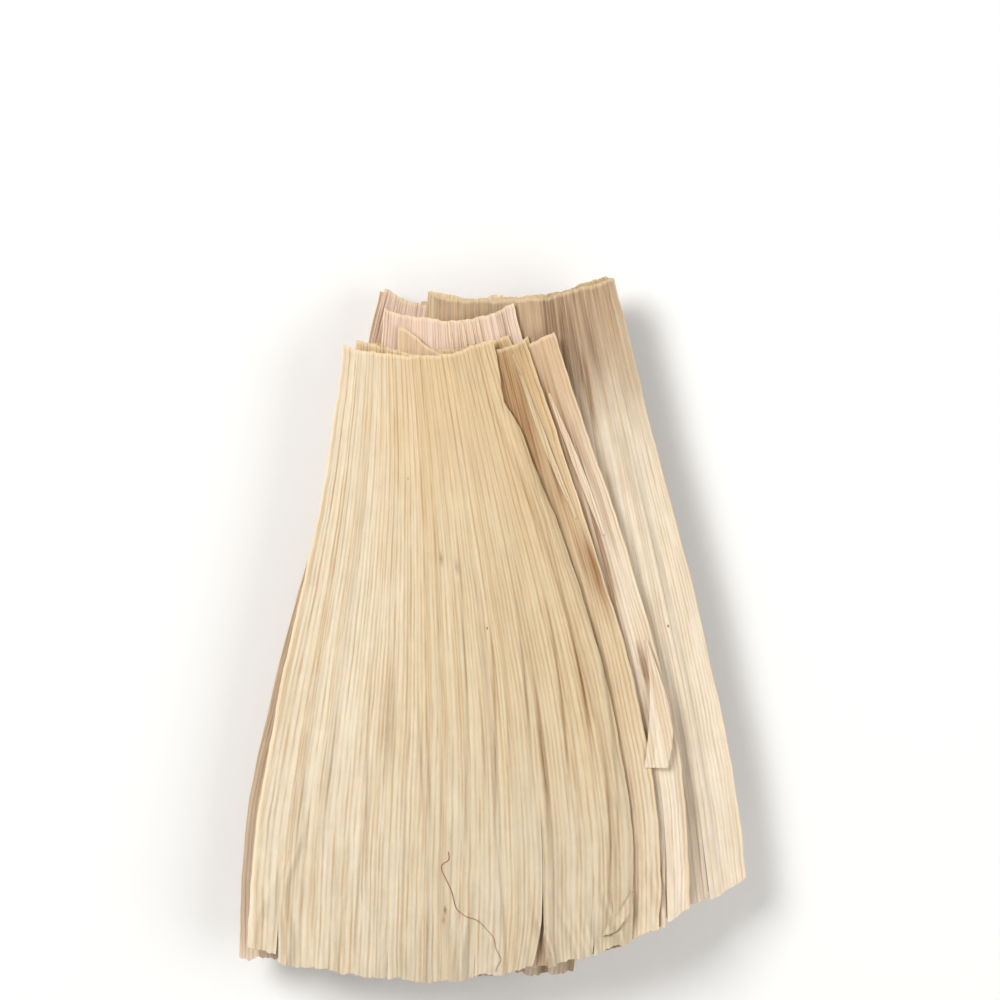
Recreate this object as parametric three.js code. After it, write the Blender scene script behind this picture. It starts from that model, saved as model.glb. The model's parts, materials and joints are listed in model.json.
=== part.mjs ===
// A bundle of dried corn husks lying flat on a table. Every husk is one thin curved leaf: a narrow cut end
// where it grew on the cob (the butt) and a wide cut end, with its fibres fanning out between them.
// Three fans of husks lie in each other: most of the back fan on the table, the right fan with its wide end
// swung to the right, and the front fan mostly on top. +X is right, +Y runs to the butts and +Z is up.
import * as THREE from "three";

// One husk, in millimetres
const THICKNESS = 0.4;
const BUTT_ARC = 5; // how far the corners of the narrow cut lie ahead of its middle
const COLUMNS = 10; // facets across a husk
const ROWS = 6; // facets along it

// How the husks lie on each other, in millimetres
const TOUCH_GAP = 0.46; // air between two husks that touch
const DROOP_REACH = 100; // distance over which a husk sinks past the long edge of the husks below it
const FIBRE_STIFFNESS = 2.5; // how many times further that takes past a cut end, along the fibres
const CUP_LIFT = 4; // how far the lowest husk's long edges curl up off the table
const CUP_START = 0.5; // share of its half-width that lies flat on the table
const DOME_WIDTH = 0.85; // half-widths over which the looseness under a husk fades
const DOME_AT_WIDE_END = 0.65; // looseness left at the wide end, as a share of that at the butt
const RIPPLE = 0.3; // share of the looseness that comes and goes along and across a husk
const RIPPLE_LENGTH = 95;

// Differences between the husks of one fan
const SHIFT = 2.5; // mm, of the butt
const SWING = 0.9; // degrees, of the lean
const STRETCH = 4; // mm, of the length
const WIDEN = 2.5; // mm, of the half-widths

// Each fan runs from its lowest husk to its top one, with butt the middle of the narrow cut, lean the angle
// by which the wide end swings to +X, and loose the air under the husk's middle. Flare says how much of the
// spread comes early, bow how far the middle of the length lies to the right of a straight line, and wideArc
// how far the corners of the wide cut lie behind its middle, in millimetres.
const FANS = {
  back_husk: {
    count: 12,
    colour: 0xd6b690,
    flare: 1.5,
    bow: 0,
    wideArc: 3,
    lowest: { butt: [-17, 112], lean: 0.5, length: 218, buttHalf: 22, wideHalf: 57, loose: 0 },
    top: { butt: [-19, 114], lean: -3, length: 232, buttHalf: 20, wideHalf: 59, loose: 0.55 },
  },
  right_husk: {
    count: 10,
    colour: 0xe0cba6,
    flare: 1,
    bow: 0,
    wideArc: 14,
    lowest: { butt: [1, 112], lean: 3.2, length: 216, buttHalf: 29, wideHalf: 59, loose: 0.45 },
    top: { butt: [10.5, 116], lean: 5.5, length: 223, buttHalf: 32, wideHalf: 58, loose: 0.5 },
  },
  front_husk: {
    count: 10,
    colour: 0xe8d3a4,
    flare: 1.3,
    bow: 4,
    wideArc: 12,
    lowest: { butt: [-8, 95], lean: 2.6, length: 204, buttHalf: 26, wideHalf: 61, loose: 0.45 },
    top: { butt: [-25.9, 96], lean: 1.8, length: 217, buttHalf: 26.8, wideHalf: 66.5, loose: 0.7 },
  },
};
// Three husks under the top one show at its narrow end and along its right side.
const OWN = {
  front_husk_06: { butt: [-16, 108.5], lean: 1, length: 222, buttHalf: 22.5, wideHalf: 58 },
  front_husk_08: { butt: [-6, 97], lean: 4.2, length: 211, buttHalf: 27, wideHalf: 59 },
  front_husk_09: { butt: [-13.5, 95.5], lean: 3, length: 214, buttHalf: 24.5, wideHalf: 60 },
};
// The fan that each husk belongs to, from the table up, by the first letter of the fan's name.
const STACK = "bbbbbbrbbrbrbrrbfrbfrrfrfrffffff";

const { lerp, clamp, smoothstep, degToRad } = THREE.MathUtils;

// A fixed number from -1 to 1 for each husk and each of its measures.
function scatter(order, measure) {
  const wave = Math.sin(order * 12.9898 + measure * 78.233) * 43758.5453;
  return 2 * (wave - Math.floor(wave)) - 1;
}

class Husk {
  constructor({ butt, lean, ...measures }) {
    Object.assign(this, measures);
    this.butt = new THREE.Vector2(...butt);
    this.along = new THREE.Vector2(Math.sin(degToRad(lean)), -Math.cos(degToRad(lean)));
    this.across = new THREE.Vector2(-this.along.y, this.along.x);
  }

  // The sides spread like a bell: evenly from the butt, most past the middle, and hardly at the wide end.
  halfWidth(share) {
    return lerp(this.buttHalf, this.wideHalf, share + this.flare * share * share * (1 - share));
  }

  // How far the husk's middle line lies to the right of a straight one.
  bend(share) {
    return 4 * this.bow * share * (1 - share);
  }

  // The point seen from above, a share of the way along the husk and a share of its half-width across.
  planPoint(share, side) {
    const run = this.length * share - lerp(BUTT_ARC, this.wideArc, share) * side * side;
    return this.butt
      .clone()
      .addScaledVector(this.along, run)
      .addScaledVector(this.across, this.bend(share) + side * this.halfWidth(share));
  }

  // The shares of a point on the table, and how far outside the husk's outline it counts as lying.
  locate(point) {
    const offset = point.clone().sub(this.butt);
    const firstShare = clamp(offset.dot(this.along) / this.length, 0, 1);
    const firstWidth = offset.dot(this.across) - this.bend(firstShare);
    const firstSide = clamp(firstWidth / this.halfWidth(firstShare), -1, 1);
    const run = offset.dot(this.along) + lerp(BUTT_ARC, this.wideArc, firstShare) * firstSide * firstSide;
    const share = clamp(run / this.length, 0, 1);
    const width = offset.dot(this.across) - this.bend(share);
    const half = this.halfWidth(share);
    const pastEdge = Math.max(0, Math.abs(width) - half);
    const pastEnd = (run - share * this.length) / FIBRE_STIFFNESS;
    const outside = Math.hypot(pastEdge, pastEnd);
    return { share, side: width / half, outside };
  }

  // How much this husk raises what lies on it at that point: its own thickness and the air under it.
  raises(point) {
    const { share, side, outside } = this.locate(point);
    const cover = 1 - smoothstep(outside, 0, DROOP_REACH);
    const dome = Math.exp(-((side / DOME_WIDTH) ** 2)) * lerp(1, DOME_AT_WIDE_END, share);
    const heading = Math.PI * scatter(this.order, 7);
    const phase = (point.x * Math.cos(heading) + point.y * Math.sin(heading)) / RIPPLE_LENGTH;
    const ripple = 1 + RIPPLE * Math.sin(2 * Math.PI * phase + this.order);
    return (THICKNESS + TOUCH_GAP + this.loose * dome * ripple) * cover;
  }
}

// The husks of all fans, from the table up.
function makeHusks() {
  const laid = Object.fromEntries(Object.keys(FANS).map((name) => [name, 0]));
  return [...STACK].map((letter, order) => {
    const name = Object.keys(FANS).find((fan) => fan.startsWith(letter));
    const { count, lowest, top, ...shared } = FANS[name];
    const place = laid[name]++;
    const share = place / (count - 1);
    const inside = place === 0 || place === count - 1 ? 0 : 1; // a fan's two end husks are as stated
    const mix = (key) => lerp(lowest[key], top[key], share);
    const vary = (measure, amount) => inside * amount * scatter(order, measure);
    const label = `${name}_${String(place + 1).padStart(2, "0")}`;
    return new Husk({
      name: label,
      order,
      ...shared,
      butt: [0, 1].map((axis) => lerp(lowest.butt[axis], top.butt[axis], share) + vary(axis, SHIFT)),
      lean: mix("lean") + vary(2, SWING),
      length: mix("length") + vary(3, STRETCH),
      buttHalf: mix("buttHalf") + vary(4, WIDEN) / 2,
      wideHalf: mix("wideHalf") + vary(5, WIDEN),
      loose: mix("loose"),
      ...OWN[label],
    });
  });
}

// The underside of a husk above the table: the curl of the lowest husk, and all that lies below.
function undersideHeight(husks, husk, point) {
  const lowest = husks[0];
  const { side, outside } = lowest.locate(point);
  const curl = smoothstep(Math.abs(side), CUP_START, 2 - CUP_START);
  const start = 2 * CUP_LIFT * curl * (1 - smoothstep(outside, 0, DROOP_REACH));
  const below = husks.slice(0, husk.order);
  const pile = below.reduce((height, other) => height + other.raises(point), start);
  return pile + (husk === lowest ? 0 : husk.raises(point) - THICKNESS);
}

// A closed thin solid: a grid of points on top, the same grid a thickness lower, and a wall around the rim.
function huskGeometry(husks, husk) {
  const positions = [];
  for (const height of [THICKNESS, 0]) {
    for (let row = 0; row <= ROWS; row++) {
      for (let column = 0; column <= COLUMNS; column++) {
        const point = husk.planPoint(row / ROWS, (2 * column) / COLUMNS - 1);
        positions.push(point.x, point.y, undersideHeight(husks, husk, point) + height);
      }
    }
  }
  const layer = (ROWS + 1) * (COLUMNS + 1);
  const top = (row, column) => row * (COLUMNS + 1) + column;
  const bottom = (row, column) => layer + top(row, column);
  const faces = [];
  const quad = (a, b, c, d) => faces.push(a, b, c, a, c, d);
  for (let row = 0; row < ROWS; row++) {
    for (let column = 0; column < COLUMNS; column++) {
      const corners = [
        [row, column],
        [row + 1, column],
        [row + 1, column + 1],
        [row, column + 1],
      ];
      quad(...corners.map(([r, c]) => top(r, c)));
      quad(...corners.reverse().map(([r, c]) => bottom(r, c)));
    }
  }
  const wall = (from, to) => quad(top(...to), top(...from), bottom(...from), bottom(...to));
  for (let column = 0; column < COLUMNS; column++) {
    wall([0, column + 1], [0, column]);
    wall([ROWS, column], [ROWS, column + 1]);
  }
  for (let row = 0; row < ROWS; row++) {
    wall([row, 0], [row + 1, 0]);
    wall([row + 1, COLUMNS], [row, COLUMNS]);
  }
  const geometry = new THREE.BufferGeometry();
  geometry.setAttribute("position", new THREE.Float32BufferAttribute(positions, 3));
  geometry.setIndex(faces);
  geometry.computeVertexNormals();
  return geometry;
}

function makeBundle() {
  const bundle = new THREE.Group();
  const husks = makeHusks();
  for (const husk of husks) {
    const material = new THREE.MeshStandardMaterial({ color: husk.colour, roughness: 0.7, metalness: 0 });
    const mesh = new THREE.Mesh(huskGeometry(husks, husk), material);
    mesh.name = husk.name;
    bundle.add(mesh);
  }
  // The origin is on the table, under the middle of the bundle.
  const box = new THREE.Box3().setFromObject(bundle);
  const middle = box.getCenter(new THREE.Vector3());
  bundle.position.set(-middle.x, -middle.y, -box.min.z);
  return bundle;
}

export default makeBundle();
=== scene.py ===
"""Dresses a loose bundle of dried corn husks that lies flat and is seen from straight above.

Every husk is a thin ribbed leaf laid on the shape of its solid, with veins, pleats, splits and frayed ends
of its own. Lengths in the classes are millimetres; meshes are in metres.
"""

from __future__ import annotations

import json
import logging
import math
from dataclasses import dataclass, field
from enum import Enum

import bmesh
import bpy
import numpy as np
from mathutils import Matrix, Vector
from mathutils.bvhtree import BVHTree

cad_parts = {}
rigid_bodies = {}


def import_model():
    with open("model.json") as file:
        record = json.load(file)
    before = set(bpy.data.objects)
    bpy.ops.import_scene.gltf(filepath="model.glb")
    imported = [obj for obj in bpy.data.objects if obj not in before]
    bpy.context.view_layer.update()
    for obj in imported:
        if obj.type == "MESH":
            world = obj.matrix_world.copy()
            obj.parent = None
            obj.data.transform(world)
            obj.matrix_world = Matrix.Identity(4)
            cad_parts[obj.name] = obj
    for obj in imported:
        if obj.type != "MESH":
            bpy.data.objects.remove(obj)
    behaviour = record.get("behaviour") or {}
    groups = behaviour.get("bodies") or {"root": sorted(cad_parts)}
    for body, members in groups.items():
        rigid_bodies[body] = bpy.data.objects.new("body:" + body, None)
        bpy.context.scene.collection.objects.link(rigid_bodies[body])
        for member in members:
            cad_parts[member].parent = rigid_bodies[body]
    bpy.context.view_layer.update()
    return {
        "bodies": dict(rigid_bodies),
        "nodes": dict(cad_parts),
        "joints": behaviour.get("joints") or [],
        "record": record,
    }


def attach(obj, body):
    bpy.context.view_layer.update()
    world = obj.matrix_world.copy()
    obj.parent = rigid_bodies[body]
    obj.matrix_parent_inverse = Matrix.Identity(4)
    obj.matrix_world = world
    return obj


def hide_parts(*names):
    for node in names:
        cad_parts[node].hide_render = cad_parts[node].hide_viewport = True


MM = 0.001
CRISP_ANGLE = math.radians(55.0)
LOG = logging.getLogger("husks")

Array = np.ndarray
Colour = tuple[float, float, float, float]
Place = tuple[float, float]
Range = tuple[float, float]
Sides = tuple[float, float]
Socket = bpy.types.NodeSocket

# The fan of each husk from the table up: back, right or front.
STACK = "bbbbbbrbbrbrbrrbfrbfrrfrfrffffff"


def srgb(red: int, green: int, blue: int) -> Colour:
    """Turns a screen colour of 0 to 255 into the linear colour that a shader takes.

    Args:
        red: The red share.
        green: The green share.
        blue: The blue share.

    Returns:
        The linear colour with an alpha of 1.
    """
    shares = (red / 255, green / 255, blue / 255)
    linear = [c / 12.92 if c <= 0.04045 else ((c + 0.055) / 1.055) ** 2.4 for c in shares]
    return (linear[0], linear[1], linear[2], 1.0)


def smooth(value: Array, low: float, high: float) -> Array:
    """Rises smoothly from 0 at low to 1 at high."""
    share = np.clip((value - low) / (high - low), 0.0, 1.0)
    return share * share * (3.0 - 2.0 * share)


class Fan(Enum):
    """A fan of husks, with the letter it has in the stack and the start of its husks' names."""

    BACK = "b"
    RIGHT = "r"
    FRONT = "f"

    @property
    def slot(self) -> str:
        """The start of the fan's husks' names."""
        return f"{self.name.lower()}_husk"


class Detail(Enum):
    """How finely a husk is meshed: columns across and rows along."""

    FACING = (430, 98)
    SPREAD = (290, 76)
    SHOWING = (168, 44)
    COVERED = (108, 24)


class Weaver:
    """Adds nodes to one tree and joins their sockets."""

    def __init__(self, tree: bpy.types.NodeTree) -> None:
        """Keeps the tree."""
        self.tree = tree

    def node(self, kind: str, inputs: dict | None = None, **settings: object) -> bpy.types.Node:
        """Adds one node.

        Args:
            kind: The node's type name.
            inputs: A value or a socket to join for each input, by name or number.
            **settings: The node's own settings.

        Returns:
            The new node.
        """
        made = self.tree.nodes.new(kind)
        for key, value in settings.items():
            setattr(made, key, value)
        for key, value in (inputs or {}).items():
            if isinstance(value, Socket):
                self.tree.links.new(value, made.inputs[key])
            else:
                made.inputs[key].default_value = value
        return made

    def math(self, operation: str, *terms: object) -> Socket:
        """Joins numbers or sockets by one sum and returns its socket."""
        return self.node("ShaderNodeMath", dict(enumerate(terms)), operation=operation).outputs[0]

    def span(self, value: object, low: float, high: float, start: float = 0.0, end: float = 1.0) -> Socket:
        """Maps low to high onto start to end, smoothly and clamped.

        Args:
            value: The socket to map.
            low: The value that gives start.
            high: The value that gives end.
            start: The result at low.
            end: The result at high.

        Returns:
            The mapped socket.
        """
        inputs = {"Value": value, "From Min": low, "From Max": high, "To Min": start, "To Max": end}
        return self.node("ShaderNodeMapRange", inputs, interpolation_type="SMOOTHSTEP").outputs["Result"]

    def vector(self, x: object, y: object, z: object) -> Socket:
        """Joins three numbers into one vector."""
        return self.node("ShaderNodeCombineXYZ", {0: x, 1: y, 2: z}).outputs[0]

    def noise(self, vector: object, detail: float = 2.0, roughness: float = 0.5) -> Socket:
        """A noise of scale 1 at a vector."""
        inputs = {"Vector": vector, "Scale": 1.0, "Detail": detail, "Roughness": roughness}
        return self.node("ShaderNodeTexNoise", inputs).outputs[0]

    def mix(self, factor: object, first: object, second: object, blend: str = "MIX") -> Socket:
        """Mixes two colours.

        Args:
            factor: How much of the second one shows.
            first: The colour below.
            second: The colour above.
            blend: The way in which they mix.

        Returns:
            The mixed colour's socket.
        """
        inputs = {0: factor, 6: first, 7: second}
        return self.node("ShaderNodeMix", inputs, data_type="RGBA", blend_type=blend).outputs[2]

    def group(self, tree: bpy.types.NodeTree, inputs: dict) -> bpy.types.Node:
        """Places a shader node group with its own values."""
        return self.node("ShaderNodeGroup", inputs, node_tree=tree)

    def named(self, label: str, kind: str) -> Socket:
        """Reads a mesh's own values of one kind in a Geometry Nodes tree."""
        return self.node("GeometryNodeInputNamedAttribute", {"Name": label}, data_type=kind).outputs[0]

    def tube(self, curve: Socket, sides: int, radius: Socket) -> Socket:
        """Sweeps a tube with closed ends along a curve in a Geometry Nodes tree.

        Args:
            curve: The curve.
            sides: The number of sides of the tube.
            radius: The tube's radius along the curve.

        Returns:
            The tube's mesh.
        """
        ring = self.node("GeometryNodeCurvePrimitiveCircle", {"Resolution": sides, "Radius": 1.0})
        inputs = {"Curve": curve, "Profile Curve": ring.outputs[0], "Scale": radius, "Fill Caps": True}
        return self.node("GeometryNodeCurveToMesh", inputs).outputs[0]

    def put_out(self, geometry: Socket, material: Socket) -> None:
        """Ends a Geometry Nodes tree: makes all instances real, sets the material and puts the shape out.

        Args:
            geometry: The shape.
            material: Its material.
        """
        whole = self.node("GeometryNodeRealizeInstances", {0: geometry})
        painted = self.node("GeometryNodeSetMaterial", {"Geometry": whole.outputs[0], "Material": material})
        self.node("NodeGroupOutput", {"Geometry": painted.outputs[0]})


def new_tree(name: str, kind: str, inputs: dict[str, str], outputs: dict[str, str]) -> bpy.types.NodeTree:
    """Makes an empty node group with named sockets.

    Args:
        name: The group's name.
        kind: The type of tree.
        inputs: The socket type of each named input.
        outputs: The socket type of each named output.

    Returns:
        The new group.
    """
    tree = bpy.data.node_groups.new(name, kind)
    for way, sockets in (("INPUT", inputs), ("OUTPUT", outputs)):
        for label, socket in sockets.items():
            tree.interface.new_socket(label, in_out=way, socket_type=f"NodeSocket{socket}")
    return tree


def set_input(modifier: bpy.types.Modifier, label: str, value: object) -> None:
    """Sets a named input of a Geometry Nodes modifier by its socket's identifier.

    Args:
        modifier: The modifier.
        label: The input's name.
        value: The value that it gets.
    """
    for item in modifier.node_group.interface.items_tree:
        if item.item_type == "SOCKET" and item.in_out == "INPUT" and item.name == label:
            modifier[item.identifier] = value


class FibreSockets:
    """A husk's fibre coordinates: across from -1 to 1, along from 0 to 1, and its own seed."""

    NAME = "fibre"

    def __init__(self, weaver: Weaver, geometry: bool) -> None:
        """Reads the attribute.

        Args:
            weaver: The tree to add the nodes to.
            geometry: Whether the tree is of Geometry Nodes, and not a shader.
        """
        self.weaver = weaver
        if geometry:
            vector = weaver.named(self.NAME, "FLOAT_VECTOR")
        else:
            source = weaver.node("ShaderNodeAttribute", attribute_name=self.NAME, attribute_type="GEOMETRY")
            vector = source.outputs["Vector"]
        parts = weaver.node("ShaderNodeSeparateXYZ", {0: vector})
        self.across, self.along, self.seed = parts.outputs

    def place(self, waves: tuple[float, float, float]) -> Socket:
        """The place to read a pattern of a number of waves across, along and from husk to husk."""
        terms = zip((self.across, self.along, self.seed), waves)
        return self.weaver.vector(*(self.weaver.math("MULTIPLY", share, wave) for share, wave in terms))

    def noise(self, waves: tuple[float, float, float], detail: float, roughness: float = 0.6) -> Socket:
        """Noise over a husk.

        Args:
            waves: The fineness across, along and from husk to husk.
            detail: The number of finer layers.
            roughness: The strength of each finer layer.

        Returns:
            The noise's socket.
        """
        return self.weaver.noise(self.place(waves), detail, roughness)


class VeinSockets:
    """The veins as numbers, alike for the relief and the colour, so that both fall on the same lines."""

    WANDER = 1.0
    SEED_STEP = 13.7
    FINE_STEP = 31.7
    UNEVEN = 0.8

    def __init__(self, weaver: Weaver, fibre: FibreSockets, count: object) -> None:
        """Works out the strong veins and the finer ones that grow half-way between them.

        Args:
            weaver: The tree to add the nodes to.
            fibre: The fibre coordinates.
            count: The number of strong veins across the husk.
        """
        self.weaver = weaver
        drift = fibre.noise((4.0, 4.2, 3.1), 3.0, 0.5)
        bend = weaver.math("MULTIPLY", weaver.math("SUBTRACT", drift, 0.5), self.WANDER)
        start = weaver.math("MULTIPLY_ADD", fibre.seed, self.SEED_STEP, bend)
        place = weaver.math("MULTIPLY_ADD", weaver.math("MULTIPLY", fibre.across, count), 0.5, start)
        row = {"W": place, "Scale": 1.0, "Randomness": self.UNEVEN}
        vein, middle = (
            weaver.node("ShaderNodeTexVoronoi", row, voronoi_dimensions="1D", feature=feature).outputs
            for feature in ("F1", "DISTANCE_TO_EDGE")
        )
        self.distance, self.fine_distance = vein["Distance"], middle["Distance"]
        self.band, lot, _ = weaver.node("ShaderNodeSeparateXYZ", {0: vein["Color"]}).outputs
        fade = self._fade(fibre, place, lot, 0.36)
        worn = weaver.math("MULTIPLY", weaver.span(fibre.along, 0.3, 0.9, 1.0, 0.6), fade)
        self.strength = weaver.math("MULTIPLY", weaver.span(lot, 0.0, 1.0, 0.6, 1.0), worn)
        fine_fade = self._fade(fibre, weaver.math("ADD", place, self.FINE_STEP), lot, 0.15)
        grown = weaver.span(fibre.along, 0.05, 0.5, 0.15, 0.85)
        self.fine_strength = weaver.math("MULTIPLY", grown, fine_fade)

    def _fade(self, fibre: FibreSockets, place: Socket, lot: Socket, least: float) -> Socket:
        """How strongly the veins show, coming and going along the husk.

        Args:
            fibre: The fibre coordinates.
            place: The place across, counted in veins.
            lot: The lot that each vein has drawn.
            least: The strength where a vein is faintest.

        Returns:
            The strength, from least to 1.
        """
        weaver = self.weaver
        fading = weaver.vector(
            weaver.math("MULTIPLY", place, 0.8), weaver.math("MULTIPLY", fibre.along, 11.0), lot
        )
        return weaver.span(weaver.noise(fading, 3.0), 0.3, 0.66, least, 1.0)

    def lines(self, width: float, fine_width: float, fine_share: float) -> Socket:
        """How strongly a place lies on a vein.

        Args:
            width: How far a strong vein reaches from its middle, in spaces between veins.
            fine_width: How far a finer vein reaches from its middle.
            fine_share: The strength of the finer veins.

        Returns:
            The strength, up to 1 on the middle of a strong vein.
        """
        weaver = self.weaver
        strong = weaver.span(self.distance, 0.0, width, 1.0, 0.0)
        fine = weaver.span(self.fine_distance, 0.0, fine_width, fine_share, 0.0)
        return weaver.math(
            "MAXIMUM",
            weaver.math("MULTIPLY", strong, self.strength),
            weaver.math("MULTIPLY", fine, self.fine_strength),
        )


class HuskRelief:
    """The Geometry Nodes tree that raises a husk's veins and fine crumples."""

    def __init__(self) -> None:
        """Builds the tree once for all husks."""
        inputs = {
            "Geometry": "Geometry",
            "Vein Count": "Float",
            "Vein Height": "Float",
            "Crumple Height": "Float",
            "Material": "Material",
        }
        self.tree = new_tree("husk_relief", "GeometryNodeTree", inputs, {"Geometry": "Geometry"})
        weaver = Weaver(self.tree)
        given = weaver.node("NodeGroupInput").outputs
        fibre = FibreSockets(weaver, geometry=True)
        veins = VeinSockets(weaver, fibre, given["Vein Count"])
        groove = veins.lines(0.42, 0.32, 0.7)
        vein = weaver.math("MULTIPLY", weaver.math("SUBTRACT", 1.0, groove), given["Vein Height"])
        uneven = fibre.noise((16.0, 10.0, 7.3), 4.0, 0.55)
        crumple = weaver.math("MULTIPLY", uneven, given["Crumple Height"])
        normal = weaver.node("GeometryNodeInputNormal").outputs["Normal"]
        height = weaver.math("ADD", vein, crumple)
        offset = weaver.node("ShaderNodeVectorMath", {0: normal, "Scale": height}, operation="SCALE")
        moved = {"Geometry": given["Geometry"], "Offset": offset.outputs[0]}
        raised = weaver.node("GeometryNodeSetPosition", moved)
        weaver.put_out(raised.outputs[0], given["Material"])


class FrayedEnds:
    """The Geometry Nodes tree that sets loose fibres along a husk's cut and torn edges."""

    MARK = "fray"
    HEADING = "outward"

    def __init__(self) -> None:
        """Builds the tree once for all husks."""
        inputs = {
            "Geometry": "Geometry",
            "Share": "Float",
            "Length": "Float",
            "Radius": "Float",
            "Seed": "Int",
            "Material": "Material",
        }
        self.tree = new_tree("frayed_ends", "GeometryNodeTree", inputs, {"Geometry": "Geometry"})
        weaver = Weaver(self.tree)
        given = weaver.node("NodeGroupInput").outputs
        chance = weaver.math("MULTIPLY", weaver.named(self.MARK, "FLOAT"), given["Share"])
        drawn = weaver.node("FunctionNodeRandomValue", {6: chance, 8: given["Seed"]}, data_type="BOOLEAN")
        chosen = {"Mesh": given["Geometry"], "Selection": drawn.outputs[3]}
        points = weaver.node("GeometryNodeMeshToPoints", chosen)
        strand = weaver.node(
            "GeometryNodeCurveQuadraticBezier",
            {"Resolution": 4, "Start": (0, 0, -0.25), "Middle": (0.06, 0, 0.4), "End": (-0.05, 0.1, 1)},
        )
        taper = weaver.span(weaver.node("GeometryNodeSplineParameter").outputs["Factor"], 0.0, 1.0, 1.0, 0.25)
        radius = weaver.math("MULTIPLY", taper, weaver.math("DIVIDE", given["Radius"], given["Length"]))
        heading = weaver.named(self.HEADING, "FLOAT_VECTOR")
        turn = weaver.node("FunctionNodeAlignRotationToVector", {"Vector": heading}, axis="Z")
        swing = weaver.node(
            "FunctionNodeRandomValue",
            {0: (-0.35, -0.35, -3.1), 1: (0.35, 0.35, 3.1), 8: given["Seed"]},
            data_type="FLOAT_VECTOR",
        )
        turned = weaver.node(
            "FunctionNodeRotateRotation",
            {"Rotation": turn.outputs[0], "Rotate By": swing.outputs[0]},
            rotation_space="LOCAL",
        )
        size = weaver.node(
            "FunctionNodeRandomValue", {2: 0.3, 3: 1.0, 8: given["Seed"]}, data_type="FLOAT"
        )
        length = weaver.math("MULTIPLY", size.outputs[1], given["Length"])
        fibres = weaver.node(
            "GeometryNodeInstanceOnPoints",
            {
                "Points": points.outputs[0],
                "Instance": weaver.tube(strand.outputs[0], 3, radius),
                "Rotation": turned.outputs[0],
                "Scale": weaver.vector(length, length, length),
            },
        )
        joined = weaver.node("GeometryNodeJoinGeometry")
        for piece in (fibres.outputs[0], given["Geometry"]):
            self.tree.links.new(piece, joined.inputs[0])
        weaver.put_out(joined.outputs[0], given["Material"])


class ThreadSweep:
    """The Geometry Nodes tree that sweeps a round, tapering thread along a route of edges."""

    def __init__(self) -> None:
        """Builds the tree."""
        inputs = {"Geometry": "Geometry", "Radius": "Float", "Step": "Float", "Material": "Material"}
        self.tree = new_tree("thread_sweep", "GeometryNodeTree", inputs, {"Geometry": "Geometry"})
        weaver = Weaver(self.tree)
        given = weaver.node("NodeGroupInput").outputs
        line = weaver.node("GeometryNodeMeshToCurve", {"Mesh": given["Geometry"]})
        curve = weaver.node(
            "GeometryNodeCurveSplineType", {"Curve": line.outputs[0]}, spline_type="CATMULL_ROM"
        )
        even = weaver.node(
            "GeometryNodeResampleCurve", {"Curve": curve.outputs[0], "Length": given["Step"]}, mode="LENGTH"
        )
        share = weaver.node("GeometryNodeSplineParameter").outputs["Factor"]
        radius = weaver.math("MULTIPLY", weaver.span(share, 0.0, 1.0, 1.0, 0.6), given["Radius"])
        weaver.put_out(weaver.tube(even.outputs[0], 8, radius), given["Material"])


class VeinPattern:
    """The shader node group that gives the vein lines, the bands between them and the fine fibre streaks."""

    def __init__(self) -> None:
        """Builds the group once for all husk finishes."""
        outputs = {"Line": "Float", "Band": "Float", "Streak": "Float", "Height": "Float"}
        self.tree = new_tree("husk_veins", "ShaderNodeTree", {"Vein Count": "Float"}, outputs)
        weaver = Weaver(self.tree)
        given = weaver.node("NodeGroupInput").outputs
        fibre = FibreSockets(weaver, geometry=False)
        veins = VeinSockets(weaver, fibre, given["Vein Count"])
        line = veins.lines(0.25, 0.2, 0.9)
        waves = ((85.0, 9.0), (260.0, 26.0), (70.0, 190.0), (22.0, 62.0))
        streak, hair, grain, crinkle = (fibre.noise((*wave, 5.9), 3.0) for wave in waves)
        streak = weaver.math("MULTIPLY_ADD", weaver.math("SUBTRACT", hair, 0.5), 0.8, streak)
        height = weaver.math("SUBTRACT", streak, weaver.math("MULTIPLY", line, 1.4))
        height = weaver.math("MULTIPLY_ADD", grain, 0.8, height)
        height = weaver.math("MULTIPLY_ADD", crinkle, 2.6, height)
        results = {"Line": line, "Band": veins.band, "Streak": streak, "Height": height}
        weaver.node("NodeGroupOutput", results)


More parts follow.
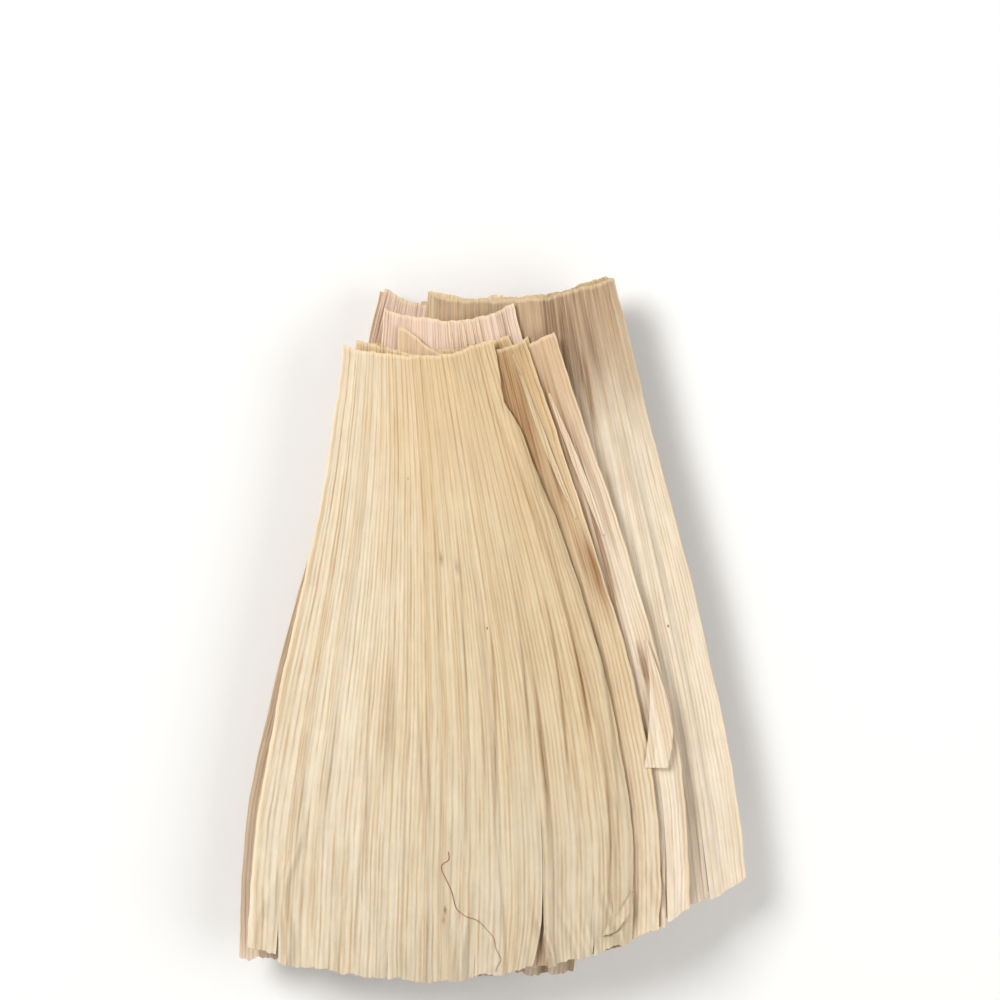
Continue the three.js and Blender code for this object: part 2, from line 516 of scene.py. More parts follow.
class PatchPattern:
    """The shader node group for broad patches, golden streaks, brown stains with painted groove and edge
    shade, and dark specks.
    """

    def __init__(self) -> None:
        """Builds the group once for all husk finishes."""
        inputs = {"Stain Reach": "Float", "Stain Share": "Float", "Speck Share": "Float"}
        values = ("Patch", "Mottle", "Gold", "Stain", "Speck", "Across", "Along")
        outputs = dict.fromkeys(values, "Float")
        self.tree = new_tree("husk_patches", "ShaderNodeTree", inputs, outputs)
        weaver = Weaver(self.tree)
        given = weaver.node("NodeGroupInput").outputs
        fibre = FibreSockets(weaver, geometry=False)
        patch = fibre.noise((2.2, 2.6, 9.1), 4.0)
        mottle = fibre.noise((11.0, 27.0, 8.3), 4.0)
        gold = fibre.noise((21.0, 4.0, 6.3), 4.0)
        near_butt = weaver.math("SUBTRACT", 1.0, weaver.math("DIVIDE", fibre.along, given["Stain Reach"]))
        run = fibre.noise((12.0, 2.4, 4.7), 5.0)
        level = weaver.math("MULTIPLY_ADD", near_butt, 0.22, run)
        excess = weaver.math("SUBTRACT", level, weaver.math("SUBTRACT", 0.86, given["Stain Share"]))
        # The painted attribute holds real stains and also painted shade in fold grooves and next to the edges
        # of covering husks.
        painted = weaver.node("ShaderNodeAttribute", attribute_name=Stain.NAME, attribute_type="GEOMETRY")
        threads = fibre.noise((48.0, 5.0, 3.3), 4.0)
        streaky_stain_and_shade = weaver.math("MULTIPLY", painted.outputs["Fac"], weaver.span(threads, 0.36, 0.6, 0.4, 1.0))
        stain = weaver.math("MAXIMUM", weaver.span(excess, 0.0, 0.22), streaky_stain_and_shade)
        dots = {"Vector": fibre.place((40.0, 80.0, 2.3)), "Scale": 1.0}
        cell = weaver.node("ShaderNodeTexVoronoi", dots, feature="F1")
        lot = weaver.node("ShaderNodeSeparateXYZ", {0: cell.outputs["Color"]}).outputs[0]
        drawn = weaver.math("LESS_THAN", lot, given["Speck Share"])
        speck = weaver.math("MULTIPLY", weaver.span(cell.outputs["Distance"], 0.08, 0.3, 1.0, 0.0), drawn)
        results = (patch, mottle, gold, stain, speck, fibre.across, fibre.along)
        weaver.node("NodeGroupOutput", dict(zip(values, results)))


@dataclass(frozen=True)
class HuskFinish:
    """The look of dry husk: its colours from butt to wide end, veins, patches, stains, gloss, and painted
    light and shade.
    """

    name: str
    butt: Colour
    middle: Colour
    wide: Colour
    line: Colour
    gold: Colour
    # The left colour is painted light on a paler left side; the right colour is painted shade on a darker tan
    # right side.
    left: Colour = srgb(238, 226, 204)
    right: Colour = srgb(220, 190, 144)
    # The paler cut fibre at the butt end, also used as a painted highlight along the side edges.
    rim: Colour = srgb(248, 228, 188)
    # The colour of real brown stains, also used for the painted shade in fold grooves and next to covering
    # edges.
    stain: Colour = srgb(128, 92, 58)
    speck: Colour = srgb(112, 70, 44)
    # How strongly the painted light on the left side and the painted shade on the right side show.
    painted_side_light_share: float = 0.0
    line_share: float = 0.92
    gold_share: float = 0.36
    stain_share: float = 0.0
    stain_reach: float = 0.5
    speck_share: float = 0.0012
    roughness: float = 0.58
    vein_count: float = 41.0

    def material(self, veins: VeinPattern, patches: PatchPattern) -> bpy.types.Material:
        """Makes the material.

        Args:
            veins: The group for the vein lines.
            patches: The group for patches, stains and specks.

        Returns:
            The new material.
        """
        made = bpy.data.materials.new(self.name)
        made.use_nodes = True
        made.node_tree.nodes.clear()
        weaver = Weaver(made.node_tree)
        vein = weaver.group(veins.tree, {"Vein Count": self.vein_count}).outputs
        spots = {
            "Stain Reach": self.stain_reach,
            "Stain Share": self.stain_share,
            "Speck Share": self.speck_share,
        }
        spot = weaver.group(patches.tree, spots).outputs
        wavy = weaver.math("MULTIPLY_ADD", weaver.math("SUBTRACT", spot["Patch"], 0.5), 0.55, spot["Along"])
        ground = weaver.mix(weaver.span(wavy, 0.0, 0.42), self.butt, self.middle)
        ground = weaver.mix(weaver.span(wavy, 0.5, 1.0), ground, self.wide)
        # Painted light and shade: paler towards the left side, darker tan towards the right side, most near
        # the butt.
        ragged = weaver.math("MULTIPLY_ADD", weaver.math("SUBTRACT", spot["Gold"], 0.5), 0.9, spot["Across"])
        ground = weaver.mix(weaver.span(ragged, 0.0, -0.75, 0.0, self.painted_side_light_share), ground, self.left)
        upper = weaver.span(spot["Along"], 0.4, 0.8, 0.75, 0.1)
        tan = weaver.math("MULTIPLY", weaver.span(ragged, 0.2, 0.75), upper)
        ground = weaver.mix(weaver.math("MULTIPLY", tan, self.painted_side_light_share), ground, self.right)
        golden = weaver.math("MULTIPLY", weaver.span(spot["Gold"], 0.4, 0.72), self.gold_share)
        ground = weaver.mix(golden, ground, self.gold)
        band = weaver.span(vein["Band"], 0.0, 1.0, 0.97, 1.02)
        streak = weaver.span(vein["Streak"], 0.2, 0.8, 0.94, 1.04)
        mottle = weaver.span(spot["Mottle"], 0.25, 0.75, 0.95, 1.035)
        tone = weaver.math("MULTIPLY", weaver.math("MULTIPLY", band, streak), mottle)
        ground = weaver.mix(1.0, ground, weaver.vector(tone, tone, tone), "MULTIPLY")
        ground = weaver.mix(weaver.math("MULTIPLY", vein["Line"], self.line_share), ground, self.line)
        # Real brown stains, and painted shade in fold grooves and next to the edges of covering husks.
        stain = weaver.math("MULTIPLY", spot["Stain"], weaver.span(vein["Streak"], 0.2, 0.65, 0.62, 1.0))
        ground = weaver.mix(stain, ground, self.stain)
        ground = weaver.mix(spot["Speck"], ground, self.speck)
        # A painted highlight along the side edges, and the paler cut fibre at the butt end, both in the rim
        # colour.
        side = weaver.span(weaver.math("ABSOLUTE", spot["Across"]), 0.976, 0.992, 0.0, 0.35)
        cut = weaver.span(spot["Along"], 0.002, 0.008, 0.4, 0.0)
        ground = weaver.mix(weaver.math("MAXIMUM", side, cut), ground, self.rim)
        gloss = weaver.span(vein["Streak"], 0.2, 0.8, self.roughness + 0.1, self.roughness - 0.08)
        grain = {"Strength": 0.7, "Distance": 0.1 * MM, "Height": vein["Height"]}
        bump = weaver.node("ShaderNodeBump", grain)
        surface = weaver.node(
            "ShaderNodeBsdfPrincipled",
            {
                "Base Color": ground,
                "Roughness": gloss,
                "Normal": bump.outputs[0],
                "Specular IOR Level": 0.35,
                "Subsurface Weight": 0.3,
                "Subsurface Radius": (1.0, 0.6, 0.35),
                "Subsurface Scale": 0.4 * MM,
            },
        )
        weaver.node("ShaderNodeOutputMaterial", {"Surface": surface.outputs[0]})
        return made


class Tone(Enum):
    """The husk finishes of the bundle."""

    CREAM = HuskFinish(
        "husk_cream",
        butt=srgb(218, 193, 152),
        middle=srgb(222, 205, 173),
        wide=srgb(217, 206, 183),
        line=srgb(186, 150, 101),
        gold=srgb(208, 181, 136),
        # Painted light on the front husk's left side and painted shade on its right side.
        left=srgb(234, 222, 199),
        right=srgb(216, 193, 154),
        stain=srgb(136, 96, 56),
        painted_side_light_share=0.7,
    )
    STRAW = HuskFinish(
        "husk_straw",
        butt=srgb(222, 190, 138),
        middle=srgb(232, 208, 166),
        wide=srgb(226, 206, 170),
        line=srgb(188, 146, 92),
        gold=srgb(214, 176, 120),
        stain_share=0.1,
    )
    PALE = HuskFinish(
        "husk_pale",
        butt=srgb(176, 149, 120),
        middle=srgb(240, 228, 207),
        wide=srgb(239, 227, 207),
        line=srgb(208, 176, 134),
        gold=srgb(226, 200, 160),
        stain=srgb(126, 95, 66),
        stain_share=0.14,
        stain_reach=0.42,
    )
    BLUSH = HuskFinish(
        "husk_blush",
        butt=srgb(212, 181, 148),
        middle=srgb(238, 224, 202),
        wide=srgb(239, 227, 207),
        line=srgb(204, 172, 132),
        gold=srgb(224, 198, 160),
        stain=srgb(142, 102, 66),
        stain_share=0.1,
        stain_reach=0.42,
    )
    STAINED = HuskFinish(
        "husk_stained",
        butt=srgb(212, 183, 138),
        middle=srgb(222, 203, 170),
        wide=srgb(230, 217, 193),
        line=srgb(176, 138, 92),
        gold=srgb(200, 166, 118),
        # Painted shade: darker tan towards the right side.
        right=srgb(208, 180, 142),
        stain=srgb(150, 106, 62),
        painted_side_light_share=0.25,
        stain_share=0.14,
        stain_reach=0.4,
    )
    ROSY = HuskFinish(
        "husk_rosy",
        butt=srgb(231, 207, 187),
        middle=srgb(222, 198, 170),
        wide=srgb(230, 213, 190),
        line=srgb(184, 148, 116),
        gold=srgb(208, 176, 140),
        stain=srgb(140, 112, 88),
        stain_share=0.1,
    )


@dataclass(frozen=True)
class SilkFinish:
    """The look of a dry reddish-brown corn silk."""

    name: str = "corn_silk"
    light: Colour = srgb(176, 108, 66)
    dark: Colour = srgb(118, 62, 36)
    roughness: float = 0.45
    fineness: float = 600.0

    def material(self) -> bpy.types.Material:
        """Makes the material.

        Returns:
            The new material.
        """
        made = bpy.data.materials.new(self.name)
        made.use_nodes = True
        made.node_tree.nodes.clear()
        weaver = Weaver(made.node_tree)
        place = weaver.node("ShaderNodeTexCoord").outputs["Object"]
        blotch = weaver.node("ShaderNodeTexNoise", {"Vector": place, "Scale": self.fineness, "Detail": 3.0})
        colour = weaver.mix(weaver.span(blotch.outputs[0], 0.3, 0.7), self.dark, self.light)
        look = {"Base Color": colour, "Roughness": self.roughness}
        surface = weaver.node("ShaderNodeBsdfPrincipled", look)
        weaver.node("ShaderNodeOutputMaterial", {"Surface": surface.outputs[0]})
        return made


@dataclass(frozen=True)
class FloorFinish:
    """A plain pale floor."""

    name: str = "pale_floor"
    colour: Colour = (0.9, 0.9, 0.89, 1.0)
    roughness: float = 0.8

    def material(self) -> bpy.types.Material:
        """Makes the material.

        Returns:
            The new material.
        """
        made = bpy.data.materials.new(self.name)
        made.use_nodes = True
        surface = made.node_tree.nodes["Principled BSDF"]
        surface.inputs["Base Color"].default_value = self.colour
        surface.inputs["Roughness"].default_value = self.roughness
        return made


def spline_weights(place: Array, count: int) -> Array:
    """Weighs the values at evenly spaced stations for a natural cubic spline through them.

    Args:
        place: The places to read, where the stations are at 0, 1, 2 and so on.
        count: The number of stations.

    Returns:
        One row of weights for each place.
    """
    inner = count - 2
    bends = 4.0 * np.eye(inner) + np.eye(inner, k=1) + np.eye(inner, k=-1)
    steps = np.zeros((inner, count))
    for row in range(inner):
        steps[row, row : row + 3] = (6.0, -12.0, 6.0)
    second = np.zeros((count, count))
    second[1:-1] = np.linalg.solve(bends, steps)
    index = np.clip(place.astype(int), 0, count - 2)
    part = (place - index)[:, None]
    rest = 1.0 - part
    ends = np.eye(count)
    straight = rest * ends[index] + part * ends[index + 1]
    return straight + (rest**3 - rest) / 6.0 * second[index] + (part**3 - part) / 6.0 * second[index + 1]


class Sheet:
    """The top of one husk's solid as a smooth sheet, read from its mesh."""

    COLUMNS = 11
    ROWS = 7

    def __init__(self, solid: bpy.types.Object) -> None:
        """Reads the sheet's stations.

        Args:
            solid: The husk's solid in the frame.
        """
        corners = np.array([v.co for v in solid.data.vertices]) / MM
        highest: dict[Place, float] = {}
        for x, y, z in corners.round(3):
            highest[x, y] = max(z, highest.get((x, y), z))
        stations = np.array([(x, y, z) for (x, y), z in highest.items()])
        spread = stations[:, :2] - stations[:, :2].mean(axis=0)
        _, axes = np.linalg.eigh(spread.T @ spread)
        down = axes[:, 1] * (-1.0 if axes[1, 1] > 0 else 1.0)
        self.down = np.array([down[0], down[1], 0.0])
        self.right = np.array([-down[1], down[0], 0.0])
        rows = np.split(stations[np.argsort(stations @ self.down)], self.ROWS)
        self.stations = np.array([row[np.argsort(row @ self.right)] for row in rows])

    @property
    def length(self) -> float:
        """The husk's length down its middle."""
        middle = self.stations[:, self.COLUMNS // 2]
        return float(np.linalg.norm(middle[-1] - middle[0]))

    def half_width(self, along: Array) -> Array:
        """Half the husk's width at shares along it."""
        halves = np.linalg.norm(self.stations[:, -1] - self.stations[:, 0], axis=1) / 2.0
        return np.interp(along, np.linspace(0.0, 1.0, self.ROWS), halves)

    def points(self, across: Array, along: Array) -> Array:
        """Places points on the sheet.

        Args:
            across: Shares of the half-width, from -1 to 1.
            along: Shares of the length, from 0 at the butt to 1.

        Returns:
            The points, in millimetres, in the same layout.
        """
        columns = spline_weights((across.ravel() + 1.0) / 2.0 * (self.COLUMNS - 1), self.COLUMNS)
        rows = spline_weights(along.ravel() * (self.ROWS - 1), self.ROWS)
        placed = np.einsum("ni,nj,ijk->nk", rows, columns, self.stations, optimize=True)
        return placed.reshape(*across.shape, 3)


class Cover:
    """Where husks lie, seen from above, on a map of small cells."""

    CELL = 1.0
    REACH = 150.0
    FADE = 13
    HOLD = 2.2
    PROBES = (340, 560)

    def __init__(self) -> None:
        """Starts with a bare map."""
        cells = int(2 * self.REACH / self.CELL)
        self.filled = np.zeros((cells, cells))

    def add(self, sheet: Sheet) -> None:
        """Marks the cells under a sheet.

        Args:
            sheet: The sheet.
        """
        columns, rows = self.PROBES
        across, along = np.meshgrid(np.linspace(-1, 1, columns), np.linspace(0, 1, rows))
        cells = ((sheet.points(across, along) + self.REACH) / self.CELL).astype(int)
        self.filled[cells[..., 0], cells[..., 1]] = 1.0

    def free_map(self) -> Array:
        """Maps how free the top side of the next husk is.

        Returns:
            The map: 0 under what lies there and next to it, 1 well away from it.
        """
        kernel = np.ones(self.FADE) / self.FADE
        blurred = self.filled
        for axis in (0, 1):
            blurred = np.apply_along_axis(np.convolve, axis, blurred, kernel, "same")
        return np.clip(1.0 - self.HOLD * blurred, 0.0, 1.0)

    @classmethod
    def read(cls, free: Array, place: Array) -> Array:
        """Reads a map at points, smoothly between its cells.

        Args:
            free: The map.
            place: The points.

        Returns:
            The map's value at each point.
        """
        spot = (place[..., :2] + cls.REACH) / cls.CELL - 0.5
        low = spot.astype(int)
        x, y = np.moveaxis(spot - low, -1, 0)
        i, j = np.moveaxis(low, -1, 0)
        near = free[i, j] * (1 - x) + free[i + 1, j] * x
        far = free[i, j + 1] * (1 - x) + free[i + 1, j + 1] * x
        return near * (1 - y) + far * y


@dataclass(frozen=True)
class Pleats:
    """The wandering crimp ridges near the wide ends, higher in each layer, so that the husks nest."""

    apex: Place = (-22.0, 310.0)
    reach: float = 430.0
    count: int = 46
    spacing: Range = (3.0, 9.0)
    widths: Range = (1.5, 4.4)
    height: float = 4.0
    shares: Range = (0.2, 1.0)
    bluntness: Range = (1.5, 2.2)
    wander: float = 1.9
    wander_lengths: Range = (38.0, 80.0)
    phases: Range = (0.0, 6.3)
    starts: Range = (-98.0, -20.0)
    full: float = -122.0
    seed: int = 11

    def rise(self, place: Array) -> Array:
        """How far the top layer rises at points.

        Args:
            place: The points.

        Returns:
            The rise at each point, never below 0.
        """
        draw = np.random.default_rng(self.seed)
        steps = draw.uniform(*self.spacing, size=self.count)
        arc = self.reach * np.arctan2(place[..., 0] - self.apex[0], self.apex[1] - place[..., 1])
        run = -place[..., 1]
        total = np.zeros_like(arc)
        for middle in np.cumsum(steps) - steps.sum() / 2.0:
            begin, width = draw.uniform(*self.starts), draw.uniform(*self.widths)
            turn = 2.0 * math.pi * run / draw.uniform(*self.wander_lengths) + draw.uniform(*self.phases)
            off = np.abs(arc - middle - self.wander * np.sin(turn)) / width
            tall = self.height * draw.uniform(*self.shares) * smooth(run, -begin, -self.full)
            total += tall * np.exp(-(off ** draw.uniform(*self.bluntness)))
        return total


@dataclass(frozen=True)
class Fold:
    """One fold along the fibres, steeper on its right side, with painted brown shade in the groove there."""

    CREASE_WIDTH = 0.028
    CREASE_SKEW = 0.4
    GROOVE_OFFSET = 1.4
    GROOVE_WIDTH = 0.35

    across: float
    width: float
    height: float
    start: float
    end: float
    drift: float = 0.0
    skew: float = 1.0
    tint: float = 0.0
    sharp: float = 1.4
    fade: float = 0.1

    @classmethod
    def crease(cls, start: Place, end: Place, height: float, tint: float) -> Fold:
        """A narrow crease between two places on a husk.

        Args:
            start: Where it starts, as shares across and along.
            end: Where it ends.
            height: How far it rises.
            tint: How strong the painted brown shade in its groove is.

        Returns:
            The fold.
        """
        drift = (end[0] - start[0]) / (end[1] - start[1])
        return cls(
            across=start[0] - drift * start[1],
            width=cls.CREASE_WIDTH,
            height=height,
            start=start[1],
            end=end[1],
            drift=drift,
            skew=cls.CREASE_SKEW,
            tint=tint,
        )

    def _window(self, along: Array) -> Array:
        """How much of the fold there is at shares along the husk."""
        begun = smooth(along, self.start - self.fade, self.start + self.fade)
        return begun * smooth(-along, -self.end - self.fade, -self.end + self.fade)

    def rise(self, across: Array, along: Array) -> Array:
        """How far the fold rises at places on the husk.

        Args:
            across: Shares across, from -1 to 1.
            along: Shares along, from 0 to 1.

        Returns:
            The rise at each place.
        """
        offset = across - self.across - self.drift * along
        width = np.where(offset > 0.0, self.skew, 1.0) * self.width
        return self.height * self._window(along) * np.exp(-((np.abs(offset) / width) ** self.sharp))

    def shade(self, across: Array, along: Array) -> Array:
        """How strongly painted shade darkens the groove at places on the husk.

        Args:
            across: Shares across, from -1 to 1.
            along: Shares along, from 0 to 1.

        Returns:
            The tint at each place.
        """
        groove = self.across + self.drift * along + self.GROOVE_OFFSET * self.skew * self.width
        offset = (across - groove) / (self.GROOVE_WIDTH * self.width)
        return self.tint * self._window(along) * np.exp(-(offset**2))


@dataclass(frozen=True)
class Slit:
    """A split along the fibres that runs out at the wide end.

    Opening, step and crack move its two sides apart, across and along, and lift raises the left side where it
    is below 0 and the right side otherwise, all in millimetres.
    """

    OPENING_REACH = 9.0
    LIFT_REACH = 5.0
    STEP_REACH = 14.0
    CRACK_GROWTH = 6.0

    across: float
    start: float
    opening: float
    lift: float = 0.0
    step: float = 0.0
    power: float = 1.6
    crack: float = 0.0


@dataclass(frozen=True)
class Stain:
    """A brown mark drawn out along the fibres, by its middle and its half-lengths in shares of the husk."""

    # The attribute also carries the painted shade of fold grooves and of covering edges.
    NAME = "stain"

    across: float
    along: float
    width: float
    length: float
    strength: float = 1.0

    def cover(self, across: Array, along: Array) -> Array:
        """How strongly the mark shows at shares across and along the husk."""
        reach = ((across - self.across) / self.width) ** 2 + ((along - self.along) / self.length) ** 2
        return self.strength * np.exp(-reach)


@dataclass(frozen=True)
class TornStrip:
    """A strip torn loose that lies on its husk, folded along its length."""

    VALLEY_WIDTH = 0.22
    FULL_FOLD_WIDTH = 4.0

    stations: tuple[tuple[float, float, float, float], ...]
    fold: float
    fold_side: float = 0.0
    slant: float = 0.0
    pale: bool = False
    columns: int = 16
    rows: int = 70

    @classmethod
    def ridge(cls, across: float) -> TornStrip:
        """A short pale rib that stands up from the butt.

        Args:
            across: Its share across.

        Returns:
            The strip.
        """
        stations = (
            (across, 0.002, 0.7, 0.45),
            (across + 0.005, 0.028, 1.2, 0.7),
            (across + 0.02, 0.055, 0.8, 0.45),
        )
        return cls(stations, fold=-0.6, pale=True, columns=6, rows=24)

    def fibres(self, across: Array, along: Array) -> Array:
        """The fibre coordinates of the strip's points, which are those of the pale rim for a pale strip."""
        shown = 0.0 if self.pale else 0.2 + 0.65 * along.ravel()
        return np.stack(np.broadcast_arrays(across.ravel() - 1.1, shown), axis=1)

    def spread(self, sheet: Sheet) -> tuple[Array, Array, Array]:
        """Spreads the strip's points over its husk.

        Each station gives the middle's shares across and along the husk, the width and the height above it.

        Args:
            sheet: The husk's sheet.

        Returns:
            The shares across, the shares along and the heights, row by row.
        """
        knots = np.array(self.stations)
        line = spline_weights(np.linspace(0.0, len(knots) - 1.0, self.rows + 1), len(knots)) @ knots
        side = np.linspace(-1.0, 1.0, self.columns + 1)
        half = sheet.half_width(line[:, 1])[:, None]
        reach = 0.5 * line[:, 2:3] * side
        across = line[:, 0:1] + reach / half
        along = line[:, 1:2] + self.slant * reach / sheet.length
        valley = np.exp(-(((side - self.fold_side) / self.VALLEY_WIDTH) ** 2))
        folded = self.fold * (1.0 - valley) * np.minimum(1.0, line[:, 2:3] / self.FULL_FOLD_WIDTH)
        return across, along, line[:, 3:4] + folded


class Wave(Enum):
    """The seeded waves of a husk: the number of the draw, and the longest wave in millimetres."""

    BILLOW = (0, 75.0)
    CURL = (1, 150.0)
    SIDE = (2, 80.0)
    WIDE_CUT = (3, 26.0)
    BUTT_CUT = (4, 30.0)
    DENTED_AREA = (5, 60.0)
    DENT = (6, 17.0)
    RIB = (7, 19.0)


@dataclass
class Husk:
    """One husk: a leaf laid on its sheet, with its own folds, splits and edges."""

    FIRST_SEED = 100
    CURL_WIDTH = 7.0
    ROLL_WIDTH = 6.5
    SIDE_WIDTH = 6.0
    SIDE_SWAY = 0.4
    CORNER_WIDTH = 16.0
    BUTT_RAGGED = 0.7
    RIB_SPACING = 2.9
    RIB_LENGTH = 12.0
    RIM_LIFT = 0.25
    RIM_LENGTH = 2.5
    BUTT_FRAY = 0.3
    SIDE_FRAY = 0.12
    FIBRE_LENGTH = 2.4
    FIBRE_RADIUS = 0.06

    node: str
    fan: Fan
    layer: int
    tone: Tone
    detail: Detail = Detail.COVERED
    thickness: float = 0.34
    vein_height: float = 0.18
    crumple: float = 0.26
    fold_count: int = 10
    fold_height: float = 0.7
    # How strongly painted shade darkens the grooves of the drawn folds.
    fold_groove_shade: float = 0.5
    billow: float = 1.0
    dents: float = 0.3
    rim_ribs: float = 0.3
    own_folds: list[Fold] = field(default_factory=list)
    slits: list[Slit] = field(default_factory=list)
    stains: list[Stain] = field(default_factory=list)
    strips: list[TornStrip] = field(default_factory=list)
    curl: Sides = (0.4, 0.4)
    corners: Sides = (0.0, 0.0)
    trim: tuple[Place, ...] = ((0.0, 0.0), (1.0, 0.0))
    longer: float = 0.0
    ridge: float = 0.0
    # How strongly painted shade darkens the leaf next to the edges of the husks that lie on it.
    seam: float = 0.22
    ragged: float = 0.8
    fray_share: float = 0.04

    def __post_init__(self) -> None:
        """Draws the husk's own folds and waves."""
        self.draw = np.random.default_rng(self.FIRST_SEED + self.layer)
        self.folds = [*self.own_folds, *(self._fold() for _ in range(self.fold_count))]
        self.phases = self.draw.uniform(0.0, 2.0 * math.pi, size=(len(Wave), 5))

    def _fold(self) -> Fold:
        """Draws one fold.

        Returns:
            The fold.
        """
        draw = self.draw.uniform
        start = draw(0.0, 0.6)
        return Fold(
            across=draw(-0.95, 0.95),
            width=draw(0.015, 0.06),
            height=self.fold_height * draw(0.25, 1.0),
            start=start,
            end=start + draw(0.35, 0.9),
            drift=draw(-0.05, 0.05),
            skew=draw(0.3, 1.0),
            tint=self.fold_groove_shade * draw(0.2, 1.0),
            sharp=draw(1.1, 2.0),
            fade=0.12,
        )

    def _wave(self, wave: Wave, place: Array) -> Array:
        """A seeded wave from about -1 to 1, with shorter ones in it.

        Args:
            wave: The kind of wave.
            place: The places to read it at, in millimetres.

        Returns:
            The wave's value at each place.
        """
        kind, longest = wave.value
        total = np.zeros_like(place)
        for step, phase in enumerate(self.phases[kind]):
            total += np.sin(2.0 * math.pi * place * 1.83**step / longest + phase) / (1.0 + 0.6 * step)
        return total / 2.2

    def _ripple(self, wave: Wave, width: Array, run: Array) -> Array:
        """A seeded rolling surface from about -1 to 1, drawn out along the fibres.

        Args:
            wave: The kind of wave.
            width: The places across, in millimetres.
            run: The places along.

        Returns:
            The surface's value at each place.
        """
        kind, longest = wave.value
        total = np.zeros_like(width)
        for step, phase in enumerate(self.phases[kind]):
            heading = 2.4 * phase + 1.1 * step
            turns = (width * math.cos(heading) + 0.55 * run * math.sin(heading)) * 1.5**step / longest
            total += np.sin(2.0 * math.pi * turns + 3.7 * phase) / (1.0 + 0.5 * step)
        return total / 2.2

    def _loose(self, half: Array, across: Array, along: Array, run: Array) -> Array:
        """How far the husk rises where nothing lies on it: its folds, billows, dents, curled sides and rim.

        Args:
            half: Half the husk's width at each place.
            across: Shares across, from -1 to 1.
            along: Shares along, from 0 to 1.
            run: The places along, in millimetres.

        Returns:
            The rise at each place.
        """
        width = across * half
        rise = sum(fold.rise(across, along) for fold in self.folds)
        billow = np.clip(0.5 + 0.5 * self._ripple(Wave.BILLOW, width, run), 0.0, 1.0)
        rise += self.billow * billow * smooth(along, 0.0, 0.3)
        dented = np.clip(self._ripple(Wave.DENTED_AREA, width, run), 0.0, 1.0)
        rise += self.dents * dented * np.clip(0.5 + 0.5 * self._ripple(Wave.DENT, width, run), 0.0, 1.0)
        for side, curl in zip((-1.0, 1.0), self.curl):
            near = smooth(side * across, 1.0 - self.CURL_WIDTH / half, 1.0) ** 2
            rise += curl * near * (0.6 + 0.4 * self._wave(Wave.CURL, run))
        turns = (width + self._wave(Wave.RIB, width)) / self.RIB_SPACING
        ribs = self.rim_ribs * (0.5 + 0.5 * np.sin(2.0 * math.pi * turns))
        rise += ribs * np.exp(-run / self.RIB_LENGTH) + self.RIM_LIFT * np.exp(-run / self.RIM_LENGTH)
        return rise

    def lay(self, sheet: Sheet, free: Array, pleats: Pleats, across: Array, along: Array) -> Array:
        """Places points of the husk.

        Args:
            sheet: The sheet it lies on.
            free: The map of where nothing lies on it.
            pleats: The crimp of the whole bundle.
            across: Shares across, from -1 to 1.
            along: Shares along, from 0 to 1.

        Returns:
            The points, in millimetres.
        """
        place = sheet.points(across, along)
        half = sheet.half_width(along)
        width, run = across * half, along * sheet.length
        rise = Cover.read(free, place) * self._loose(half, across, along, run)
        rise += pleats.rise(place) * self.layer / (len(STACK) - 1)
        if self.ridge:
            rolled = self.ROLL_WIDTH / half
            roll = np.clip((across - 1.0 + rolled) / rolled, 0.0, 1.0)
            rise += self.ridge * np.sin(math.pi * roll) ** 0.8 * smooth(along, 0.02, 0.25)
        place[..., 2] += rise
        edge = smooth(np.abs(across), 1.0 - self.SIDE_WIDTH / half, 1.0) * np.sign(across)
        half_wave = 0.5 * Wave.SIDE.value[1] * np.sign(across)
        shift = self.SIDE_SWAY * edge * self._wave(Wave.SIDE, run + half_wave)
        shift -= self._torn_back(across, along)
        step = self.ragged * smooth(along, 0.93, 1.0) * self._wave(Wave.WIDE_CUT, width)
        step += self.longer * smooth(along, 0.5, 1.0)
        step += self.BUTT_RAGGED * (1.0 - smooth(along, 0.0, 0.05)) * self._wave(Wave.BUTT_CUT, width)
        for side, corner in zip((-1.0, 1.0), self.corners):
            near = smooth(side * across, 1.0 - self.CORNER_WIDTH / half, 1.0)
            step -= corner * (1.0 - smooth(along, 0.0, 0.1)) * near
        return place + shift[..., None] * sheet.right + step[..., None] * sheet.down

    def _torn_back(self, across: Array, along: Array) -> Array:
        """How far the right edge is torn back at shares across and along the husk, in millimetres."""
        return np.interp(along, *zip(*self.trim)) * smooth(across, 0.5, 1.0)

    def _columns(self, count: int) -> tuple[Array, Array]:
        """Spreads the columns across, doubled at each split, and numbers the strip that each lies in.

        Args:
            count: The number of spaces between columns without splits.

        Returns:
            The shares across, and the strip numbers.
        """
        shares = np.linspace(-1.0, 1.0, count + 1)
        strips = np.zeros(count + 1, int)
        for slit in sorted(self.slits, key=lambda each: each.across):
            spot = int(np.argmin(np.abs(shares - slit.across)))
            shares[spot] = slit.across
            shares = np.insert(shares, spot, slit.across)
            strips = np.insert(strips, spot, strips[spot])
            strips[spot + 1 :] += 1
        return shares, strips

